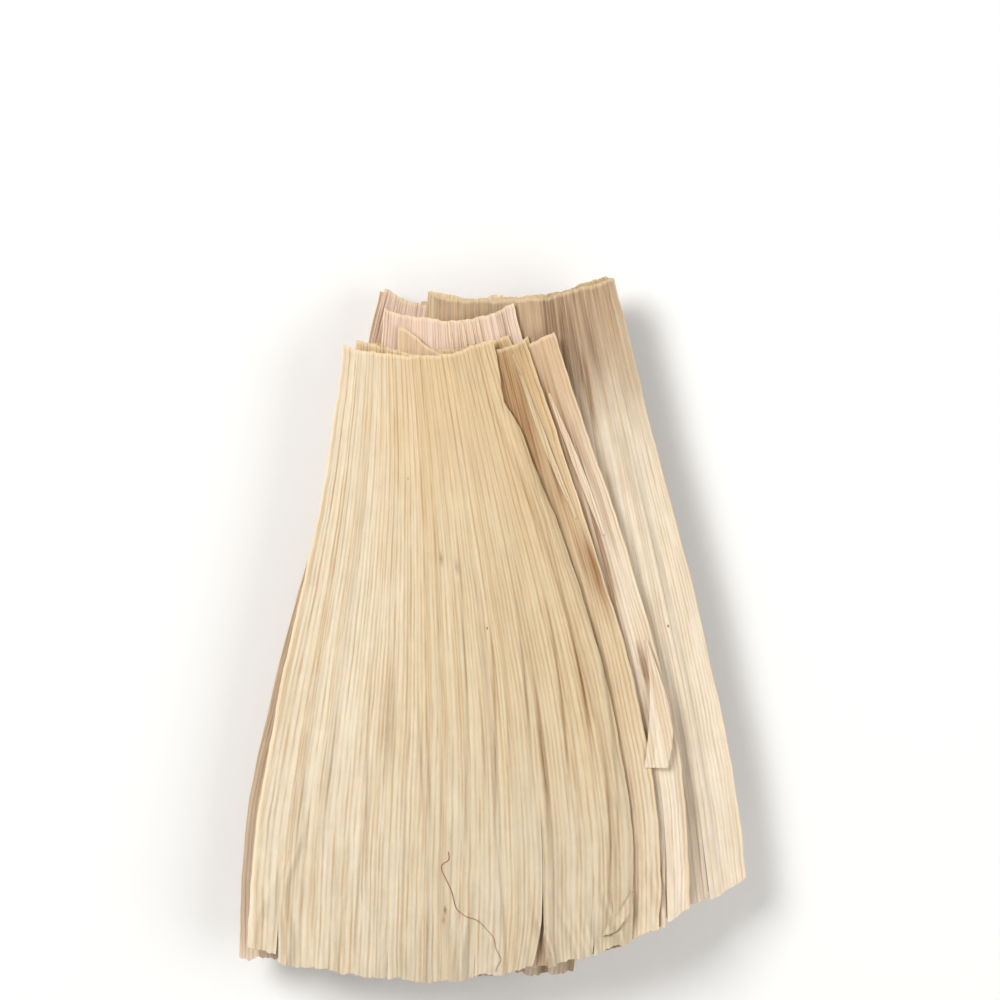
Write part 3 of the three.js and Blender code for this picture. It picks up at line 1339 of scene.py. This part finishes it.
    def _open(self, place: Array, sheet: Sheet, across: Array, along: Array, strips: Array) -> None:
        """Moves the points of the strips apart at the splits.

        Args:
            place: The points, which are moved where they stand.
            sheet: The sheet that the husk lies on.
            across: Shares across, from -1 to 1.
            along: Shares along, from 0 to 1.
            strips: The number of the strip that each point lies in.
        """
        half = sheet.half_width(along)
        for number, slit in enumerate(sorted(self.slits, key=lambda each: each.across)):
            share = np.clip((along - slit.start) / (1.0 - slit.start), 0.0, 1.0)
            grown = share**slit.power
            away = np.abs(across - slit.across) * half
            before = strips <= number
            gap = slit.opening * grown + slit.crack * np.minimum(1.0, slit.CRACK_GROWTH * share)
            part = 0.5 * gap * np.exp(-away / slit.OPENING_REACH)
            place += np.where(before, -part, part)[..., None] * sheet.right
            lift = abs(slit.lift) * grown * np.exp(-away / slit.LIFT_REACH)
            place[..., 2] += np.where(before == (slit.lift < 0), lift, 0.0)
            reach = slit.step * np.exp(-away / slit.STEP_REACH) * smooth(along, 0.9, 1.0)
            place += np.where(before, -reach, reach)[..., None] * sheet.down

    def build(self, sheet: Sheet, free: Array, pleats: Pleats) -> bpy.types.Object:
        """Builds the husk's top side as an open mesh with its fibre coordinates.

        Args:
            sheet: The sheet it lies on.
            free: The map of where nothing lies on it.
            pleats: The crimp of the whole bundle.

        Returns:
            The new object, still without thickness.
        """
        count, rows = self.detail.value
        shares, strips = self._columns(count)
        even = np.linspace(0.0, 1.0, rows + 1)
        ends = even - 0.6 * np.sin(2.0 * math.pi * even) / (2.0 * math.pi)
        across, along = np.meshgrid(shares, ends)
        place = self.lay(sheet, free, pleats, across, along)
        self._open(place, sheet, across, along, np.broadcast_to(strips, across.shape))
        faces = self._faces(across.shape, 0, strips)
        straight = across - self._torn_back(across, along) / sheet.half_width(along)
        points, fibres = [place.reshape(-1, 3)], [np.stack([straight.ravel(), along.ravel()], axis=1)]
        # Real stains, plus painted shade in the fold grooves and next to the edges of the husks above.
        stained = sum(stain.cover(across, along) for stain in self.stains) + np.zeros_like(across)
        stained += sum(fold.shade(across, along) for fold in self.folds)
        shaded = 1.0 - Cover.read(free, sheet.points(across, along))
        # Painted contact shade: browner next to the edges of the husks that lie on this one.
        stained += self.seam * smooth(along, 0.0, 0.12) * shaded**5
        marks = [np.clip(stained, 0.0, 1.0).ravel()]
        wide_cut, butt_cut, side_edge = along > 1.0 - 1e-6, along < 1e-6, np.abs(across) > 1.0 - 1e-6
        fray = [wide_cut + self.BUTT_FRAY * butt_cut + self.SIDE_FRAY * side_edge]
        for strip in self.strips:
            side, reach, height = strip.spread(sheet)
            laid = self.lay(sheet, free, pleats, side, reach)
            laid[..., 2] += height
            faces += self._faces(side.shape, sum(map(len, points)), np.zeros(side.shape[1], int))
            points.append(laid.reshape(-1, 3))
            fibres.append(strip.fibres(side, reach))
            marks.append(np.zeros(side.size))
            fray.append(np.zeros(side.shape))
        mesh = bpy.data.meshes.new(self.node)
        mesh.from_pydata((np.concatenate(points) * MM).tolist(), [], faces)
        fibre = np.concatenate(fibres)
        seeds = np.full((len(fibre), 1), float(self.layer) + 0.37)
        self._attribute(mesh, FibreSockets.NAME, np.hstack([fibre, seeds]))
        self._attribute(mesh, Stain.NAME, np.concatenate(marks))
        self._attribute(mesh, FrayedEnds.MARK, np.concatenate([mark.ravel() for mark in fray]).astype(float))
        outward = np.where(fibre[:, 1:] < 0.5, -sheet.down, sheet.down)
        self._attribute(mesh, FrayedEnds.HEADING, outward)
        self._weld(mesh)
        return bpy.data.objects.new(f"{self.node}_leaf", mesh)

    @staticmethod
    def _faces(shape: tuple[int, int], first: int, strips: Array) -> list[tuple[int, ...]]:
        """The faces of a grid of points, left out where a split parts two columns.

        Args:
            shape: The numbers of rows and columns.
            first: The number of the grid's first point.
            strips: The number of the strip that each column lies in.

        Returns:
            The faces, each facing up.
        """
        rows, columns = shape
        faces = []
        for row in range(rows - 1):
            for column in range(columns - 1):
                if strips[column] == strips[column + 1]:
                    corner = first + row * columns + column
                    faces.append((corner, corner + columns, corner + columns + 1, corner + 1))
        return faces

    @staticmethod
    def _attribute(mesh: bpy.types.Mesh, name: str, values: Array) -> None:
        """Stores one number or vector for each point of a mesh.

        Args:
            mesh: The mesh.
            name: The attribute's name.
            values: The numbers or vectors, point by point.
        """
        vectors = values.ndim == 2
        made = mesh.attributes.new(name, "FLOAT_VECTOR" if vectors else "FLOAT", "POINT")
        made.data.foreach_set("vector" if vectors else "value", values.astype(np.float32).ravel())

    @staticmethod
    def _weld(mesh: bpy.types.Mesh) -> None:
        """Joins the doubled columns where the splits are shut.

        Args:
            mesh: The mesh, which is changed.
        """
        welded = bmesh.new()
        welded.from_mesh(mesh)
        bmesh.ops.remove_doubles(welded, verts=welded.verts, dist=1e-7)
        welded.to_mesh(mesh)
        welded.free()

    def dress(
        self, leaf: bpy.types.Object, relief: HuskRelief, ends: FrayedEnds, look: bpy.types.Material
    ) -> None:
        """Raises the veins, gives the leaf its thickness and frays its ends.

        Args:
            leaf: The leaf's open mesh.
            relief: The tree for the veins.
            ends: The tree for the loose fibres.
            look: The husk's material.
        """
        veins = leaf.modifiers.new("relief", "NODES")
        veins.node_group = relief.tree
        set_input(veins, "Vein Count", self.tone.value.vein_count)
        set_input(veins, "Vein Height", self.vein_height * MM)
        set_input(veins, "Crumple Height", self.crumple * MM)
        set_input(veins, "Material", look)
        body = leaf.modifiers.new("thickness", "SOLIDIFY")
        body.thickness = self.thickness * MM
        body.offset = -1.0
        body.use_even_offset = False
        fray = leaf.modifiers.new("fray", "NODES")
        fray.node_group = ends.tree
        set_input(fray, "Share", self.fray_share)
        set_input(fray, "Length", self.FIBRE_LENGTH * MM)
        set_input(fray, "Radius", self.FIBRE_RADIUS * MM)
        set_input(fray, "Seed", self.layer)
        set_input(fray, "Material", look)
        settle(leaf)


def settle(piece: bpy.types.Object) -> None:
    """Turns a piece with its modifiers into a plain, smooth-shaded mesh with crisp rims.

    Args:
        piece: The object, which is linked to the scene here.
    """
    bpy.context.scene.collection.objects.link(piece)
    graph = bpy.context.evaluated_depsgraph_get()
    shaped = piece.evaluated_get(graph)
    mesh = bpy.data.meshes.new_from_object(shaped, preserve_all_data_layers=True, depsgraph=graph)
    piece.modifiers.clear()
    piece.data = mesh
    mesh.shade_smooth()
    mesh.set_sharp_from_angle(angle=CRISP_ANGLE)


@dataclass
class SilkThread:
    """A loose corn silk that lies on the front husk near its wide end."""

    name: str = "corn_silk"
    radius: float = 0.14
    step: float = 0.6
    smoothness: int = 6
    drop: float = 100.0
    route: tuple[Place, ...] = (
        (-15.3, -78.1),
        (-15.1, -79.8),
        (-15.6, -81.2),
        (-17.7, -83.0),
        (-16.3, -87.2),
        (-13.9, -92.8),
        (-12.5, -97.7),
        (-9.0, -100.5),
        (-5.1, -102.2),
        (-2.0, -105.0),
        (0.5, -108.2),
        (1.2, -111.7),
        (2.9, -115.2),
        (2.2, -116.9),
        (1.1, -119.6),
    )

    def build(
        self, carrier: bpy.types.Object, sweep: ThreadSweep, look: bpy.types.Material
    ) -> bpy.types.Object:
        """Lays the thread on its carrier.

        Args:
            carrier: The husk that it lies on.
            sweep: The tree that makes the thread round.
            look: The thread's material.

        Returns:
            The finished piece.
        """
        graph = bpy.context.evaluated_depsgraph_get()
        surface = BVHTree.FromObject(carrier, graph)
        bends = np.array(self.route)
        stations = np.linspace(0, len(bends) - 1, self.smoothness * len(bends))
        plan = spline_weights(stations, len(bends)) @ bends
        points = []
        for x, y in plan:
            hit = surface.ray_cast(Vector((x, y, self.drop)) * MM, Vector((0, 0, -1)))[0]
            points.append((x * MM, y * MM, hit.z + self.radius * MM))
        mesh = bpy.data.meshes.new(self.name)
        mesh.from_pydata(points, [(i, i + 1) for i in range(len(points) - 1)], [])
        thread = bpy.data.objects.new(self.name, mesh)
        shape = thread.modifiers.new("sweep", "NODES")
        shape.node_group = sweep.tree
        set_input(shape, "Radius", self.radius * MM)
        set_input(shape, "Step", self.step * MM)
        set_input(shape, "Material", look)
        settle(thread)
        return thread


@dataclass
class Bundle:
    """The whole bundle: every husk from the table up, and the silk on top."""

    frame: dict
    pleats: Pleats = field(default_factory=Pleats)

    def husks(self) -> list[Husk]:
        """Lists the husks from the table up with what sets each apart.

        Returns:
            The husks.
        """
        special = {
            "front_husk_10": {
                "tone": Tone.CREAM,
                "detail": Detail.FACING,
                "fold_count": 7,
                "fold_height": 0.4,
                "billow": 1.3,
                "dents": 0.5,
                "ridge": 2.8,
                "curl": (0.8, 0.0),
                "ragged": 0.9,
                "trim": ((0.0, 1.4), (0.03, 1.9), (0.105, 4.8), (0.145, 2.2), (0.2, 2.1), (0.3, 0.0)),
                "own_folds": [
                    Fold.crease((-0.87, 0.83), (-0.88, 0.98), 0.5, 0.4),
                    Fold.crease((-0.81, 0.57), (-0.79, 0.82), 0.4, 0.4),
                    Fold.crease((-0.75, 0.8), (-0.76, 0.98), 0.5, 0.4),
                    Fold.crease((-0.65, 0.55), (-0.66, 0.78), 0.4, 0.4),
                    Fold.crease((-0.59, 0.8), (-0.56, 0.98), 0.5, 0.4),
                    Fold.crease((-0.48, 0.51), (-0.43, 0.8), 0.6, 0.7),
                    Fold.crease((-0.46, 0.79), (-0.47, 0.97), 0.7, 0.6),
                    Fold.crease((-0.35, 0.54), (-0.35, 0.64), 0.5, 0.8),
                    Fold.crease((-0.32, 0.53), (-0.32, 0.62), 0.4, 0.8),
                    Fold.crease((-0.16, 0.58), (-0.13, 0.73), 0.3, 0.6),
                    Fold.crease((-0.11, 0.61), (-0.09, 0.74), 0.3, 0.6),
                    Fold.crease((-0.09, 0.86), (-0.09, 0.99), 0.6, 0.7),
                    Fold.crease((0.08, 0.88), (0.05, 0.99), 0.6, 0.6),
                    Fold.crease((0.16, 0.33), (0.11, 0.74), 0.6, 0.7),
                    Fold.crease((0.22, 0.58), (0.22, 0.68), 0.4, 0.7),
                    Fold.crease((0.28, 0.82), (0.34, 1.01), 0.6, 0.6),
                    Fold.crease((0.33, 0.46), (0.27, 0.72), 0.5, 0.7),
                    Fold.crease((0.38, 0.55), (0.36, 0.67), 0.3, 0.6),
                    Fold.crease((0.53, 0.42), (0.48, 0.67), 0.7, 0.8),
                    Fold.crease((0.56, 0.57), (0.55, 0.73), 0.7, 0.9),
                    Fold.crease((0.74, 0.45), (0.67, 0.74), 1.0, 0.9),
                    Fold.crease((0.77, 0.49), (0.7, 0.84), 0.5, 0.4),
                    Fold.crease((0.85, 0.53), (0.81, 0.75), 0.6, 0.6),
                    Fold.crease((0.86, 0.43), (0.84, 0.65), 1.0, 0.8),
                    Fold.crease((0.89, 0.69), (0.86, 0.92), 1.0, 0.8),
                    Fold.crease((0.91, 0.23), (0.87, 0.41), 0.6, 0.6),
                    Fold.crease((1.02, 0.44), (0.9, 0.86), 0.7, 0.4),
                ],
                "slits": [
                    Slit(across=0.528, start=0.74, opening=5.0, lift=-0.25, step=0.6, power=6.0, crack=0.16),
                    Slit(across=-0.85, start=0.93, opening=0.9, lift=0.6, step=1.5),
                    Slit(across=-0.28, start=0.95, opening=0.4, lift=0.4, step=0.4),
                    Slit(across=0.18, start=0.93, opening=0.4, lift=-0.4, step=-0.3),
                    Slit(across=0.8, start=0.9, opening=0.35, lift=0.3, step=0.5),
                ],
                "stains": [
                    Stain(across=0.036, along=0.329, width=0.012, length=0.006),
                    Stain(across=0.153, along=0.337, width=0.012, length=0.006),
                    Stain(across=0.017, along=0.888, width=0.009, length=0.005),
                    Stain(across=0.007, along=0.903, width=0.009, length=0.005),
                ],
                "strips": [
                    TornStrip(
                        stations=(
                            (1.0, 0.918, 0.9, 0.3),
                            (0.975, 0.937, 3.6, 0.4),
                            (0.93, 0.957, 5.0, 0.5),
                            (0.88, 0.978, 4.4, 0.6),
                        ),
                        fold=1.0,
                        fold_side=-0.9,
                    ),
                ],
            },
            "front_husk_09": {
                "tone": Tone.STAINED,
                "detail": Detail.SPREAD,
                "fold_count": 16,
                "fold_height": 0.8,
                "fold_groove_shade": 0.8,
                "seam": 0.6,
                "curl": (0.3, 1.0),
                "stains": [
                    Stain(across=0.68, along=0.05, width=0.14, length=0.08),
                    Stain(across=0.68, along=0.13, width=0.09, length=0.06, strength=1.2),
                    Stain(across=0.86, along=0.23, width=0.04, length=0.07, strength=0.9),
                    Stain(across=0.95, along=0.39, width=0.05, length=0.06, strength=1.3),
                    Stain(across=0.88, along=0.36, width=0.02, length=0.05),
                ],
                "strips": [
                    TornStrip(
                        stations=(
                            (0.78, 0.015, 0.6, 0.3),
                            (0.83, 0.1, 1.5, 0.5),
                            (0.87, 0.19, 1.9, 0.7),
                            (0.93, 0.3, 0.7, 0.4),
                        ),
                        fold=0.3,
                    ),
                ],
            },
            "front_husk_08": {
                "tone": Tone.BLUSH,
                "detail": Detail.SPREAD,
                "fold_count": 18,
                "fold_height": 0.8,
                "fold_groove_shade": 0.6,
                "seam": 0.6,
                "curl": (0.3, 1.0),
                "corners": (6.0, 0.0),
                "slits": [
                    Slit(across=0.862, start=0.745, opening=0.6, lift=0.2, step=-0.8, power=3.0, crack=0.08),
                    Slit(across=0.66, start=0.86, opening=0.5, lift=0.3, step=0.8),
                ],
                "strips": [
                    TornStrip(
                        stations=(
                            (0.955, 0.53, 0.8, 0.6),
                            (0.95, 0.585, 3.0, 1.4),
                            (0.935, 0.645, 6.4, 2.2),
                            (0.9, 0.695, 8.0, 2.4),
                            (0.85, 0.738, 7.8, 2.2),
                        ),
                        fold=0.7,
                        fold_side=-0.25,
                        slant=0.42,
                    ),
                    TornStrip(
                        stations=(
                            (0.74, 0.09, 0.8, 0.3),
                            (0.79, 0.17, 2.0, 0.4),
                            (0.83, 0.25, 2.4, 0.5),
                            (0.86, 0.34, 1.2, 0.4),
                        ),
                        fold=0.3,
                    ),
                ],
                "stains": [
                    Stain(across=0.83, along=0.21, width=0.06, length=0.06, strength=1.3),
                    Stain(across=0.74, along=0.12, width=0.1, length=0.1, strength=0.6),
                    Stain(across=0.8, along=0.36, width=0.06, length=0.08, strength=1.1),
                    Stain(across=0.76, along=0.44, width=0.03, length=0.06, strength=1.2),
                    Stain(across=0.92, along=0.3, width=0.02, length=0.1, strength=0.6),
                    Stain(across=0.895, along=0.565, width=0.02, length=0.03, strength=2.0),
                ],
            },
            "front_husk_06": {
                "tone": Tone.ROSY,
                "fold_count": 6,
                "rim_ribs": 0.2,
                "strips": [TornStrip.ridge(across) for across in (0.0, 0.2, 0.315, 0.43)],
            },
            "back_husk_12": {
                "longer": 2.5,
                "ragged": 1.8,
            },
            "right_husk_10": {
                "tone": Tone.PALE,
                "detail": Detail.SPREAD,
                "fold_count": 26,
                "fold_height": 0.8,
                "fold_groove_shade": 0.4,
                "slits": [
                    Slit(across=0.76, start=0.82, opening=0.45, lift=0.2, step=0.6, power=3.0, crack=0.06),
                ],
                "stains": [
                    Stain(across=0.26, along=0.05, width=0.04, length=0.06, strength=1.5),
                    Stain(across=0.36, along=0.08, width=0.04, length=0.07, strength=1.5),
                    Stain(across=0.45, along=0.1, width=0.035, length=0.07, strength=1.4),
                    Stain(across=0.51, along=0.155, width=0.03, length=0.06, strength=1.5),
                    Stain(across=0.62, along=0.09, width=0.05, length=0.06, strength=0.8),
                    # A darker band along the slit near the wide end.
                    Stain(across=0.74, along=0.9, width=0.05, length=0.16, strength=0.35),
                ],
            },
        }
        tones = {Fan.BACK: Tone.ROSY, Fan.RIGHT: Tone.PALE, Fan.FRONT: Tone.STRAW}
        stained = {"right_husk_09", "right_husk_08", "front_husk_07"}
        showing = {f"front_husk_{number:02d}" for number in (5, 6, 7)}
        showing |= {f"right_husk_{number:02d}" for number in (8, 9)}
        showing |= {f"back_husk_{number:02d}" for number in (10, 11, 12)}
        laid = dict.fromkeys(Fan, 0)
        made = []
        for layer, letter in enumerate(STACK):
            fan = Fan(letter)
            laid[fan] += 1
            node = f"{fan.slot}_{laid[fan]:02d}"
            facts = {
                "tone": Tone.STAINED if node in stained else tones[fan],
                "detail": Detail.SHOWING if node in showing else Detail.COVERED,
            }
            made.append(Husk(node=node, fan=fan, layer=layer, **{**facts, **special.get(node, {})}))
        return made

    def build(self) -> list[bpy.types.Object]:
        """Builds and dresses every piece, attaches it to the bundle's body and hides each husk's solid.

        Returns:
            The finished pieces.
        """
        relief, ends = HuskRelief(), FrayedEnds()
        veins, patches = VeinPattern(), PatchPattern()
        looks = {tone: tone.value.material(veins, patches) for tone in Tone}
        husks = self.husks()
        sheets = {husk.node: Sheet(self.frame["nodes"][husk.node]) for husk in husks}
        cover = Cover()
        pieces = []
        for husk in reversed(husks):
            sheet = sheets[husk.node]
            leaf = husk.build(sheet, cover.free_map(), self.pleats)
            husk.dress(leaf, relief, ends, looks[husk.tone])
            cover.add(sheet)
            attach(leaf, "root")
            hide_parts(husk.node)
            LOG.info("%s: %d faces, %s", leaf.name, len(leaf.data.polygons), husk.tone.value.name)
            pieces.append(leaf)
        silk = SilkThread().build(pieces[0], ThreadSweep(), SilkFinish().material())
        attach(silk, "root")
        LOG.info("%s: %d faces", silk.name, len(silk.data.polygons))
        return [*pieces, silk]


@dataclass
class Studio:
    """The pale floor, the soft lights and the camera straight above."""

    view_width: float = 350.0
    view_centre: Place = (2.57, 44.0)
    subject_height: float = 28.0
    distance: float = 1200.0
    sensor: float = 36.0
    floor_reach: float = 4000.0
    room_colour: Colour = (1.0, 0.97, 0.93, 1.0)
    room_strength: float = 0.3

    def build(self) -> None:
        """Sets up the floor, the lights and the camera."""
        self._floor()
        self._light("key", (-600.0, 450.0, 1000.0), 520.0, 11.5)
        self._light("fill", (820.0, -150.0, 860.0), 900.0, 6.4)
        self._light("front", (60.0, -900.0, 700.0), 700.0, 1.0)
        self._surroundings()
        self._camera()
        bpy.context.scene.view_settings.view_transform = "Standard"

    def _floor(self) -> None:
        """Lays the floor."""
        size = self.floor_reach * MM
        mesh = bpy.data.meshes.new("floor")
        corners = [(-size, -size, 0), (size, -size, 0), (size, size, 0), (-size, size, 0)]
        mesh.from_pydata(corners, [], [(0, 1, 2, 3)])
        mesh.materials.append(FloorFinish().material())
        floor = bpy.data.objects.new("floor", mesh)
        bpy.context.scene.collection.objects.link(floor)

    @staticmethod
    def _light(name: str, place: tuple[float, float, float], size: float, power: float) -> None:
        """Hangs one square soft light that faces the bundle.

        Args:
            name: The light's name.
            place: Where it hangs.
            size: The length of its sides.
            power: Its power in watts.
        """
        lamp = bpy.data.lights.new(name, "AREA")
        lamp.size = size * MM
        lamp.energy = power
        hung = bpy.data.objects.new(name, lamp)
        hung.location = Vector(place) * MM
        hung.rotation_mode = "QUATERNION"
        hung.rotation_quaternion = (-Vector(place)).to_track_quat("-Z", "Y")
        bpy.context.scene.collection.objects.link(hung)

    def _surroundings(self) -> None:
        """Fills the room with even pale light."""
        world = bpy.data.worlds.new("room")
        world.use_nodes = True
        backdrop = world.node_tree.nodes["Background"]
        backdrop.inputs["Color"].default_value = self.room_colour
        backdrop.inputs["Strength"].default_value = self.room_strength
        bpy.context.scene.world = world

    def _camera(self) -> None:
        """Hangs the camera so that the view's width is met at the top of the bundle."""
        lens = bpy.data.cameras.new("camera")
        lens.sensor_width = self.sensor
        lens.lens = self.sensor * self.distance / self.view_width
        camera = bpy.data.objects.new("camera", lens)
        camera.location = Vector((*self.view_centre, self.subject_height + self.distance)) * MM
        bpy.context.scene.collection.objects.link(camera)
        bpy.context.scene.camera = camera


def main() -> None:
    """Builds the bundle and the studio around the frame."""
    logging.basicConfig(level=logging.INFO, format="%(message)s")
    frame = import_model()
    pieces = Bundle(frame).build()
    Studio().build()
    LOG.info("%d pieces, %d faces", len(pieces), sum(len(piece.data.polygons) for piece in pieces))
    bpy.context.view_layer.update()


if __name__ == "__main__":
    main()
